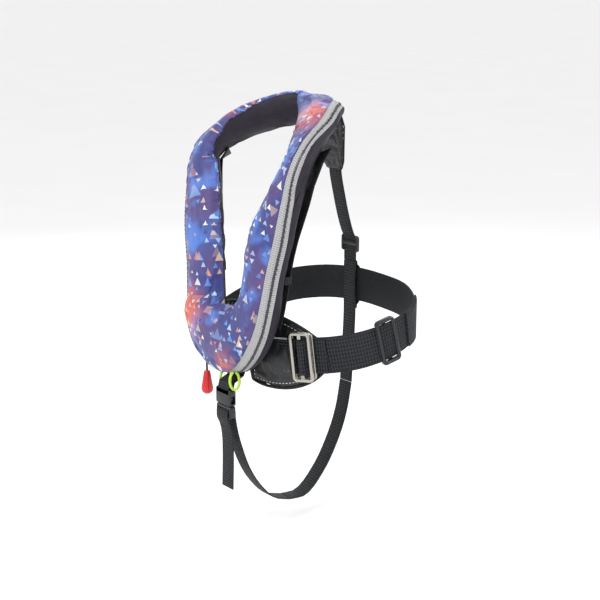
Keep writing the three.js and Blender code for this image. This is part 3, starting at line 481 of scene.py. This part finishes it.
def faceGroups(bm, angle):
    seen, groups = set(), []
    for start in bm.faces:
        if start.index in seen:
            continue
        seen.add(start.index)
        group, waiting = [], [start]
        while waiting:
            face = waiting.pop()
            group.append(face)
            for edge in face.edges:
                if len(edge.link_faces) != 2 or edge.calc_face_angle(0) > math.radians(angle):
                    continue
                for other in edge.link_faces:
                    if other.index not in seen:
                        seen.add(other.index)
                        waiting.append(other)
        groups.append(group)
    return sorted(groups, key=lambda group: -sum(face.calc_area() for face in group))


# keeps the largest smooth region, which is the outer face of a shell
def onlySkin(bm, angle=50):
    keep = set(faceGroups(bm, angle)[0])
    bmesh.ops.delete(bm, geom=[face for face in bm.faces if face not in keep], context="FACES")
    bm.verts.ensure_lookup_table()
    bm.faces.ensure_lookup_table()
    for index, vertex in enumerate(bm.verts):
        vertex.index = index
    return bm


def edgeLengths(spots):
    return [(a - b).length for a, b in zip(spots, spots[1:] + spots[:1])]


# the open edges of a skin as rings of vertices, the longest first
def rims(bm):
    left = {edge: None for edge in bm.edges if edge.is_boundary}
    loops = []
    while left:
        edge = next(iter(left))
        del left[edge]
        chain = [edge.verts[0], edge.verts[1]]
        while True:
            following = [e for e in chain[-1].link_edges if e in left]
            if not following:
                break
            del left[following[0]]
            chain.append(following[0].other_vert(chain[-1]))
        if chain[0] == chain[-1]:
            chain.pop()
        loops.append(chain)
    return sorted(loops, key=lambda chain: -sum(edgeLengths([vertex.co for vertex in chain])))


# distance along the ring from its foot, and across it from its outer rim
def ringMeasure(bm):
    outer = fromFoot(rims(bm)[0])
    head, across = {vertex: vertex for vertex in outer}, {vertex: 0.0 for vertex in outer}
    last = dict(head)
    for first, second in zip(outer, outer[1:] + outer[:1]):
        edge, used = bm.edges.get((first, second)), None
        while edge is not None:
            faces = [face for face in edge.link_faces if face != used]
            if not faces or len(faces[0].verts) != 4:
                break
            used = faces[0]
            others = [v for v in used.verts if v not in (first, second)]
            reached = {edge.other_vert(first) for edge in used.edges if first in edge.verts}
            following = others if others[0] in reached else others[::-1]
            for old, new in zip((first, second), following):
                if new not in head:
                    head[new] = head[old]
                    across[new] = across[old] + (old.co - new.co).length
                    last[head[old]] = new
            first, second = following
            edge = bm.edges.get((first, second))
    steps = []
    for first, second in zip(outer, outer[1:] + outer[:1]):
        steps.append(((first.co - second.co).length + (last[first].co - last[second].co).length) / 2)
    total, run, reach = sum(steps), 0.0, {}
    for vertex, step in zip(outer, steps):
        reach[vertex] = min(run, total - run)
        run += step
    along = {vertex: reach[start] for vertex, start in head.items()}
    for values, name in ((along, "along"), (across, "across")):
        store(bm, name, evened(bm, values))


def fromFoot(rail):
    foot = min(range(len(rail)), key=lambda i: rail[i].co.z + 0.2 * abs(rail[i].co.x))
    return rail[foot:] + rail[:foot]


# fills in the vertices that have no value yet, evenly between those that have one
def evened(bm, known):
    verts = list(bm.verts)
    index = {vertex: i for i, vertex in enumerate(verts)}
    matrix = np.zeros((len(verts), len(verts)))
    right = np.zeros(len(verts))
    for vertex, i in index.items():
        if vertex in known:
            matrix[i, i], right[i] = 1.0, known[vertex]
            continue
        for edge in vertex.link_edges:
            weight = 1.0 / max(edge.calc_length(), 1e-6)
            matrix[i, i] += weight
            matrix[i, index[edge.other_vert(vertex)]] -= weight
    solved = np.linalg.solve(matrix, right)
    return {vertex: solved[i] for vertex, i in index.items()}


def store(bm, name, values):
    layer = bm.verts.layers.float[name]
    for vertex in bm.verts:
        vertex[layer] = float(values.get(vertex, 0.0))


# shortest way along the edges from the seeds to every vertex
def spread(seeds):
    found = {seed: 0.0 for seed in seeds}
    waiting = [(0.0, i, seed) for i, seed in enumerate(seeds)]
    count = len(waiting)
    while waiting:
        gap, _, vertex = heapq.heappop(waiting)
        if gap > found[vertex]:
            continue
        for edge in vertex.link_edges:
            other = edge.other_vert(vertex)
            total = gap + edge.calc_length()
            if total < found.get(other, 1e9):
                found[other] = total
                count += 1
                heapq.heappush(waiting, (total, count, other))
    return found


# distance along a ribbon from one sewn end, and across it from its middle
def ribbonMeasure(bm):
    bm.verts.ensure_lookup_table()
    far = spread([bm.verts[0]])
    corner = max(far, key=far.get)
    cap = min(corner.link_faces, key=lambda face: sum(len(v.link_edges) for v in face.verts))
    along = spread(list(cap.verts))
    order = sorted(along, key=along.get)
    spots = np.array([v.co for v in order])
    reach = np.array([along[v] for v in order])
    across, before = {}, None
    for index, vertex in enumerate(order):
        near = spots[np.abs(reach - reach[index]) < 0.004]
        middle = near.mean(0)
        wide = np.linalg.svd(near - middle)[2][0] if len(near) > 2 else before
        if before is not None and np.dot(wide, before) < 0:
            wide = -wide
        before = wide
        across[vertex] = float(np.dot(spots[index] - middle, wide))
    store(bm, "along", along)
    store(bm, "across", across)


def baked(obj):
    bpy.context.view_layer.update()
    graph = bpy.context.evaluated_depsgraph_get()
    shown = obj.evaluated_get(graph)
    mesh = bpy.data.meshes.new_from_object(shown, preserve_all_data_layers=True, depsgraph=graph)
    obj.modifiers.clear()
    obj.vertex_groups.clear()
    obj.data = mesh
    return obj


# a short cloth run: held vertices stay, the rest grows a little and is pressed outward
def settled(obj, growth, pressure, frames, hold, bending=0.4, stiffness=14.0):
    bm = bmesh.new()
    bm.from_mesh(obj.data)
    held = [vertex.index for vertex in bm.verts if hold(vertex)]
    bm.free()
    group = obj.vertex_groups.new(name="held")
    group.add(held, 1.0, "REPLACE")
    cloth = obj.modifiers.new("cloth", "CLOTH")
    values = cloth.settings
    values.vertex_group_mass = "held"
    values.quality = 5
    values.mass = 0.2
    values.tension_stiffness = stiffness
    values.compression_stiffness = stiffness
    values.shear_stiffness = stiffness * 0.5
    values.bending_stiffness = bending
    values.air_damping = 2.0
    values.shrink_min = -growth
    values.use_pressure = True
    values.uniform_pressure_force = pressure
    values.effector_weights.gravity = 0
    cloth.collision_settings.use_collision = False
    cloth.point_cache.frame_end = frames
    for step in range(1, frames + 1):
        scene.frame_set(step)
    baked(obj)
    scene.frame_set(1)


def positions(mesh):
    spots = np.zeros(len(mesh.vertices) * 3)
    mesh.vertices.foreach_get("co", spots)
    return spots.reshape(-1, 3)


# subdivides so that the smooth surface still passes through the CAD points
def smoothed(obj, level, passes=0):
    modifier = obj.modifiers.new("smooth", "SUBSURF")
    modifier.levels = level
    modifier.render_levels = level
    wanted = positions(obj.data)
    moved = wanted.copy()
    for _ in range(passes):
        bpy.context.view_layer.update()
        graph = bpy.context.evaluated_depsgraph_get()
        shown = obj.evaluated_get(graph).to_mesh()
        moved += wanted - positions(shown)[: len(wanted)]
        obj.data.vertices.foreach_set("co", moved.ravel())
        obj.data.update()
    baked(obj)


# keeps a simulated skin from sinking into what it covers
def keptOut(obj, node, depth, most):
    skin = onlySkin(cleanCopy(node, False))
    tree = BVHTree.FromBMesh(skin)
    spots = positions(obj.data)
    for index, spot in enumerate(spots):
        near, normal, _, _ = tree.find_nearest(Vector(spot))
        height = (Vector(spot) - near).dot(normal)
        spots[index] += np.array(normal) * (min(max(height, -depth), most) - height)
    skin.free()
    obj.data.vertices.foreach_set("co", spots.ravel())
    obj.data.update()


def rounded(obj, width, angle):
    bevel = obj.modifiers.new("edge", "BEVEL")
    bevel.width = width
    bevel.segments = 2
    bevel.limit_method = "ANGLE"
    bevel.angle_limit = math.radians(angle)
    baked(obj)


def thickened(obj, thickness):
    modifier = obj.modifiers.new("thick", "SOLIDIFY")
    modifier.thickness = thickness
    modifier.offset = -1
    baked(obj)


def shaded(obj, angle):
    obj.data.shade_smooth()
    obj.data.set_sharp_from_angle(angle=math.radians(angle))


def asMesh(bm):
    mesh = bpy.data.meshes.new("made")
    bm.to_mesh(mesh)
    bm.free()
    if "custom_normal" in mesh.attributes:
        mesh.attributes.remove(mesh.attributes["custom_normal"])
    return mesh


def ringSkin(name, node, look, values):
    bm = onlySkin(cleanCopy(node, False))
    asQuads(bm, 180, 180)
    ringMeasure(bm)
    crotch = fromFoot(rims(bm)[1])[0].co.copy()
    obj = link(name, asMesh(bm), look, None)
    smoothed(obj, values["level"], 4)
    if "growth" in values:
        settled(
            obj,
            values["growth"],
            values["pressure"],
            values["frames"],
            lambda vertex: vertex.is_boundary or (vertex.co - crotch).length < values["firm"],
        )
        keptOut(obj, node, 0.0, values["bulge"])
    thickened(obj, values["thickness"])
    shaded(obj, 60)
    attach(obj, "jacket")
    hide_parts(node)
    return obj


def ribbon(name, node, look, body="jacket", width=0.0005):
    bm = cleanCopy(node)
    ribbonMeasure(bm)
    obj = link(name, asMesh(bm), look, None)
    rounded(obj, width, 50)
    shaded(obj, 50)
    if body:
        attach(obj, body)
    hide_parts(node)
    return obj


def machined(name, node, look, body, slotName, width):
    bm = cleanCopy(node, False)
    bmesh.ops.dissolve_limit(bm, angle_limit=math.radians(1), verts=bm.verts, edges=bm.edges)
    obj = link(name, asMesh(bm), look, None)
    rounded(obj, width, 30)
    shaded(obj, 40)
    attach(obj, body)
    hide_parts(node)
    return obj


# thread: short rounded stitches laid on a surface
def stitches(name, runs, surface, look, slotName, length, gap, radius):
    mesh = surface.data
    tree = BVHTree.FromPolygons([v.co for v in mesh.vertices], [p.vertices for p in mesh.polygons])
    vertices, faces = [], []
    for points in runs:
        points = [Vector(p) for p in points]
        steps = [(b - a).length for a, b in zip(points, points[1:])]
        total, at = sum(steps), 0.0
        while at + length < total:
            ends = []
            for reach in (at, at + length * 0.5, at + length):
                run = reach
                for a, b, step in zip(points, points[1:], steps):
                    if run <= step:
                        break
                    run -= step
                spot, normal, _, _ = tree.find_nearest(a.lerp(b, min(1, run / max(step, 1e-9))))
                ends.append((spot, normal))
            first = len(vertices)
            forward = (ends[2][0] - ends[0][0]).normalized()
            sizes = (0.45, 1.0, 1.0, 0.45)
            rings = (ends[0], ends[0], ends[2], ends[2])
            lifts = (-0.2, 0.55, 0.55, -0.2)
            shifts = (0.0, 0.22, -0.22, 0.0)
            for (spot, normal), size, lift, shift in zip(rings, sizes, lifts, shifts):
                side = normal.cross(forward).normalized()
                centre = spot + normal * radius * lift + forward * length * shift
                for k in range(6):
                    turn = k * math.pi / 3
                    around = side * math.cos(turn) + normal * math.sin(turn)
                    vertices.append(centre + around * radius * size)
            for ring in range(3):
                for k in range(6):
                    a, b = first + ring * 6 + k, first + ring * 6 + (k + 1) % 6
                    faces.append((a, b, b + 6, a + 6))
            faces.append(tuple(first + k for k in reversed(range(6))))
            faces.append(tuple(first + 18 + k for k in range(6)))
            at += length + gap
    link(name, built(vertices, faces), look, "jacket").data.shade_smooth()


# closed tube round a ring of points
def tube(name, points, radius, look, sides=8):
    vertices, faces = [], []
    count = len(points)
    for i, point in enumerate(points):
        forward = (points[(i + 1) % count] - points[i - 1]).normalized()
        side = forward.cross(Vector((0, -1, 0))).normalized()
        up = side.cross(forward)
        for k in range(sides):
            turn = 2 * math.pi * k / sides
            vertices.append(point + side * math.cos(turn) * radius + up * math.sin(turn) * radius)
    for i in range(count):
        for k in range(sides):
            a, b = i * sides + k, i * sides + (k + 1) % sides
            c, d = (i + 1) % count * sides + (k + 1) % sides, (i + 1) % count * sides + k
            faces.append((a, d, c, b))
    link(name, built(vertices, faces), look, "jacket").data.shade_smooth()


# the pull cord and its handle
pull = {"top": (-0.057, -0.0965, -0.315), "length": 0.048, "diameter": 0.003, "steps": 12}
handleCopy = machined("pullHandleRed", "pull_handle", "red", "pull_handle", "red_plastic", 0.0006)
line = bpy.data.curves.new("pullCord", "CURVE")
line.dimensions = "3D"
line.bevel_depth = pull["diameter"] / 2
line.bevel_resolution = 4
line.use_fill_caps = True
spline = line.splines.new("POLY")
spline.points.add(pull["steps"])
for step in range(pull["steps"] + 1):
    drop = pull["length"] * step / pull["steps"]
    spline.points[step].co = (*pull["top"][:2], pull["top"][2] - drop, 1)
line.materials.append(looks["cord"])
pullCord = bpy.data.objects.new("pullCord", line)
scene.collection.objects.link(pullCord)
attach(pullCord, "pull_handle")
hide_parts("pull_cord")
print("stage: pull cord")

# the padded cover, its lining and the zip
coverLook = {
    "level": 3,
    "thickness": 0.0009,
    "growth": 0.06,
    "pressure": 4.0,
    "frames": 26,
    "firm": 0.024,
    "bulge": 0.0035,
}
cover = ringSkin("printedCover", "cover_print", "print", coverLook)
print("stage: printed cover", len(cover.data.vertices))
liningLook = {
    "level": 2,
    "thickness": 0.001,
    "growth": 0.03,
    "pressure": 2.5,
    "frames": 16,
    "firm": 0.01,
    "bulge": 0.0035,
}
lining = ringSkin("coverLining", "cover_lining", "lining", liningLook)
print("stage: lining", len(lining.data.vertices))
zipLook = {"level": 2, "thickness": 0.001}
ringSkin("zipTapePrintSide", "zip_tape_print_side", "tape", zipLook)
ringSkin("zipTapeLiningSide", "zip_tape_lining_side", "tape", zipLook)
teeth = {"pitch": 0.0026, "width": 0.0042, "length": 0.0015, "height": 0.0009}


def zipTeeth(settings):
    bm = onlySkin(cleanCopy("zip_coil"))
    outer, inner = rims(bm)[:2]
    surface = BVHTree.FromBMesh(bm)
    innerSpots = []
    for c, d in zip(inner, inner[1:] + inner[:1]):
        innerSpots += [c.co.lerp(d.co, share) for share in (0, 0.25, 0.5, 0.75)]
    outerSpots = [v.co for v in outer]
    steps = edgeLengths(outerSpots)
    vertices, faces = [], []
    index, passed = 0, 0.0
    total = sum(steps)
    count = int(total / settings["pitch"])
    for number in range(count):
        reach = number * total / count
        while passed + steps[index] < reach:
            passed += steps[index]
            index += 1
        a, b = outerSpots[index], outerSpots[(index + 1) % len(outerSpots)]
        spot = a.lerp(b, (reach - passed) / steps[index])
        forward = (b - a).normalized()
        best = min(innerSpots, key=lambda other: (other - spot).length)
        across = (best - spot).normalized()
        near, normal, _, _ = surface.find_nearest(spot.lerp(best, 0.5))
        shift = settings["width"] * (0.12 if number % 2 else -0.12)
        centre = near + normal * settings["height"] * 0.35 + across * shift
        first = len(vertices)
        for x, wide, tall in ((-0.5, 0.5, 0.3), (-0.3, 1, 1), (0.3, 1, 1), (0.5, 0.5, 0.3)):
            for y, z in ((-0.5, -0.5), (0.5, -0.5), (0.5, 0.5), (-0.5, 0.5)):
                vertices.append(
                    centre
                    + across * x * settings["width"]
                    + forward * y * wide * settings["length"]
                    + normal * z * tall * settings["height"]
                )
        for ring in range(3):
            for k in range(4):
                p, q = first + ring * 4 + k, first + ring * 4 + (k + 1) % 4
                faces.append((p, q, q + 4, p + 4))
        faces.append((first + 3, first + 2, first + 1, first))
        faces.append((first + 12, first + 13, first + 14, first + 15))
    bm.free()
    link("zipTeeth", built(vertices, faces), "coil", "jacket")


ringSkin("zipCoil", "zip_coil", "coil", zipLook)
zipTeeth(teeth)
machined("zipSliderBody", "zip_slider", "zinc", "zip_slider", "zinc", 0.0004)
machined("zipPullerTab", "zip_puller", "zinc", "zip_puller", "zinc", 0.0003)
print("stage: zip")

# waist pads and yoke: padded cloth with a bound edge and sewing
padLook = {
    "voxel": 0.0035,
    "growth": 0.05,
    "pressure": 1.5,
    "frames": 18,
    "inset": 0.007,
    "binding": 0.0022,
    "thread": "thread",
}
yokeLook = {
    "voxel": 0.002,
    "growth": 0.01,
    "pressure": 0.3,
    "frames": 10,
    "inset": 0.004,
    "binding": 0.0012,
    "thread": "darkThread",
}
sewing = {"length": 0.0036, "gap": 0.0022, "radius": 0.0005, "heldWithin": 0.003}


# the rim of a pad's outer face, and the sewing line inside it
def frontRim(node, inset):
    bm = cleanCopy(node, False)
    outer = set()
    for face in bm.faces:
        outward = Vector((*face.calc_center_median().xy, 0)).normalized()
        if face.normal.dot(outward) > 0.6:
            outer.add(face)
    bmesh.ops.delete(bm, geom=[face for face in bm.faces if face not in outer], context="FACES")
    loop = rims(bm)[0]
    spots = [v.co.copy() for v in loop]
    normals = []
    for vertex in loop:
        normal = Vector()
        for face in vertex.link_faces:
            normal += face.normal * face.calc_area()
        normals.append(normal.normalized())
    middle = sum((v.co for v in bm.verts), Vector()) / len(bm.verts)
    inner = []
    count = len(spots)
    for i in range(count):
        forward = (spots[(i + 1) % count] - spots[i - 1]).normalized()
        inward = normals[i].cross(forward).normalized()
        if inward.dot(middle - spots[i]) < 0:
            inward = -inward
        inner.append(spots[i] + inward * inset)
    bm.free()
    return spots, inner + inner[:1]


def resampled(points, gap):
    made, left = [points[0]], gap
    for a, b in zip(points, points[1:]):
        step = (b - a).length
        while left < step:
            made.append(a.lerp(b, left / step))
            left += gap
        left -= step
    return made


def paddedPiece(name, node, settings):
    bm = cleanCopy(node, False)
    obj = link(name, asMesh(bm), "pad", None)
    remesh = obj.modifiers.new("even", "REMESH")
    remesh.mode = "VOXEL"
    remesh.voxel_size = settings["voxel"]
    baked(obj)
    spots, inner = frontRim(node, settings["inset"])
    rim = resampled(inner, 0.002)
    near = KDTree(len(rim))
    for index, point in enumerate(rim):
        near.insert(point, index)
    near.balance()
    settled(
        obj,
        settings["growth"],
        settings["pressure"],
        settings["frames"],
        lambda vertex: near.find(vertex.co)[2] < sewing["heldWithin"],
        0.8,
        12.0,
    )
    smoothed(obj, 1)
    obj.data.shade_smooth()
    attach(obj, "jacket")
    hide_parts(node)
    edge = resampled(spots + spots[:1], 0.003)[:-1]
    tube(name + "Binding", edge, settings["binding"], "binding")
    sizes = (sewing["length"], sewing["gap"], sewing["radius"])
    stitches(name + "Sewing", [inner], obj, settings["thread"], "pad_cloth", *sizes)


paddedPiece("waistPadLeft", "waist_pad_left", padLook)
paddedPiece("waistPadRight", "waist_pad_right", padLook)
paddedPiece("backYoke", "back_yoke", yokeLook)
print("stage: pads")

# webbing
straps = {
    "harnessLeft": ("harness_webbing_left", "harness"),
    "harnessRight": ("harness_webbing_right", "harness"),
    "keeperLeft": ("keeper_band_left", "webbing"),
    "keeperRight": ("keeper_band_right", "webbing"),
    "backStrapUpper": ("back_strap_upper", "webbing"),
    "backStrapLower": ("back_strap_lower", "webbing"),
    "beltLoop": ("belt_loop", "webbing"),
    "crotchStrapRear": ("crotch_strap_rear", "webbing"),
    "buckleLoop": ("buckle_webbing_loop", "webbing"),
    "ringLoop": ("ring_webbing_loop", "webbing"),
    "slideLoop": ("slide_webbing_loop", "wide"),
    "beltSide": ("belt_side", "wide"),
    "beltBack": ("belt_back", "flat"),
    "beltTail": ("belt_tail", "wide"),
    "padPatch": ("webbing_patch", "webbing"),
}
sewn = {name: ribbon(name, node, look) for name, (node, look) in straps.items()}
patch = {
    "middle": Vector((0.07106, -0.06323, -0.31488)),
    "right": Vector((0.961, 0.257, 0.104)),
    "up": Vector((-0.1, -0.027, 0.995)),
    "out": Vector((0.258, -0.966, 0)),
}
tack = {"half": 0.0115, "rise": 0.0225, "rows": 2, "gap": 0.0012, "lift": 0.003}


def barTack(up):
    runs = []
    side = patch["right"] * tack["half"]
    for row in range(tack["rows"]):
        height = up * (tack["rise"] - row * tack["gap"])
        middle = patch["middle"] + patch["up"] * height + patch["out"] * tack["lift"]
        runs.append([middle - side, middle + side])
    return runs


tackRuns = barTack(1) + barTack(-1)
stitches("patchBarTacks", tackRuns, sewn["padPatch"], "thread", "webbing", 0.003, 0.0003, 0.0006)
ribbon("crotchStrapTail", "crotch_strap_tail", "webbing", "crotch_buckle")
front = ribbon("crotchStrapFront", "crotch_strap_front", "webbing", None)
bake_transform(front, "jacket", "crotch_buckle", (0, -0.01, -0.56), (0, -0.1, -0.42))
ribbon("limeLoopLeft", "lime_loop_left", "lime", "lime_left", 0.0001)
ribbon("limeLoopRight", "lime_loop_right", "lime", "lime_right", 0.0001)
print("stage: webbing")

# hardware: CAD node, look, body, slot and edge rounding
hardware = {
    "buckleRing": ("buckle_ring", "steel", "jacket", "buckle_steel", 0.0007),
    "buckleSlide": ("buckle_slide", "steel", "front_slide", "buckle_steel", 0.0005),
    "beltTriGlide": ("belt_tri_glide", "plastic", "tri_glide", "black_plastic", 0.0006),
    "ladderLock": ("ladder_lock", "plastic", "back_adjuster", "black_plastic", 0.0005),
    "buckleFemale": ("buckle_female", "plastic", "jacket", "black_plastic", 0.0005),
    "buckleMale": ("buckle_male", "plastic", "crotch_buckle", "black_plastic", 0.0004),
    "buckleProngLeft": ("buckle_prong_left", "plastic", "prong_left", "black_plastic", 0.0002),
    "buckleProngRight": ("buckle_prong_right", "plastic", "prong_right", "black_plastic", 0.0002),
}
for name, values in hardware.items():
    machined(name, *values)
print("stage: hardware")

# pieces inside the cover keep their CAD shape
inside = {
    "auto_cartridge": "orange",
    "auto_cartridge_cap": "grey",
    "bladder": "bladder",
    "co2_cylinder": "cylinder",
    "firing_lever": "red",
    "inflator_body": "grey",
    "lever_pin": "turned",
    "oral_tube": "plastic",
    "oral_valve": "orange",
    "oral_valve_cap": "plastic",
    "piercing_pin": "turned",
    "pin_spring": "turned",
    "whistle": "orange",
}
for node, look in inside.items():
    nodes[node].data.materials.clear()
    nodes[node].data.materials.append(looks[look])

# floor and light
floorMaterial, floorTree, floorShader = newMaterial("paleFloor", 0.9)
wire(
    floorShader.inputs["Base Color"],
    mixed(floorTree, clouds(floorTree, place(floorTree), 3, 3), (0.88, 0.88, 0.88), (0.92, 0.92, 0.92)),
)
reach = studio["reach"]
corners = [(-reach, -reach), (reach, -reach), (reach, reach), (-reach, reach)]
floorMesh = built([(x, y, studio["floorHeight"]) for x, y in corners], [(0, 1, 2, 3)])
floorMesh.materials.append(floorMaterial)
floor = bpy.data.objects.new("floor", floorMesh)
scene.collection.objects.link(floor)
world = bpy.data.worlds.new("air")
world.use_nodes = True
background = world.node_tree.nodes["Background"]
background.inputs["Color"].default_value = (*studio["air"], 1)
background.inputs["Strength"].default_value = studio["airStrength"]
scene.world = world
lights = {
    "key": ((0.2, -1.6, 1.1), 1.0, 20),
    "rim": ((1.5, 0.9, 0.8), 0.9, 12),
    "fill": ((-1.4, 0.8, 0.6), 1.2, 8),
}
for name, (spot, size, power) in lights.items():
    addLight(name, spot, (0, 0, -0.25), size, power)
print("stage: light")
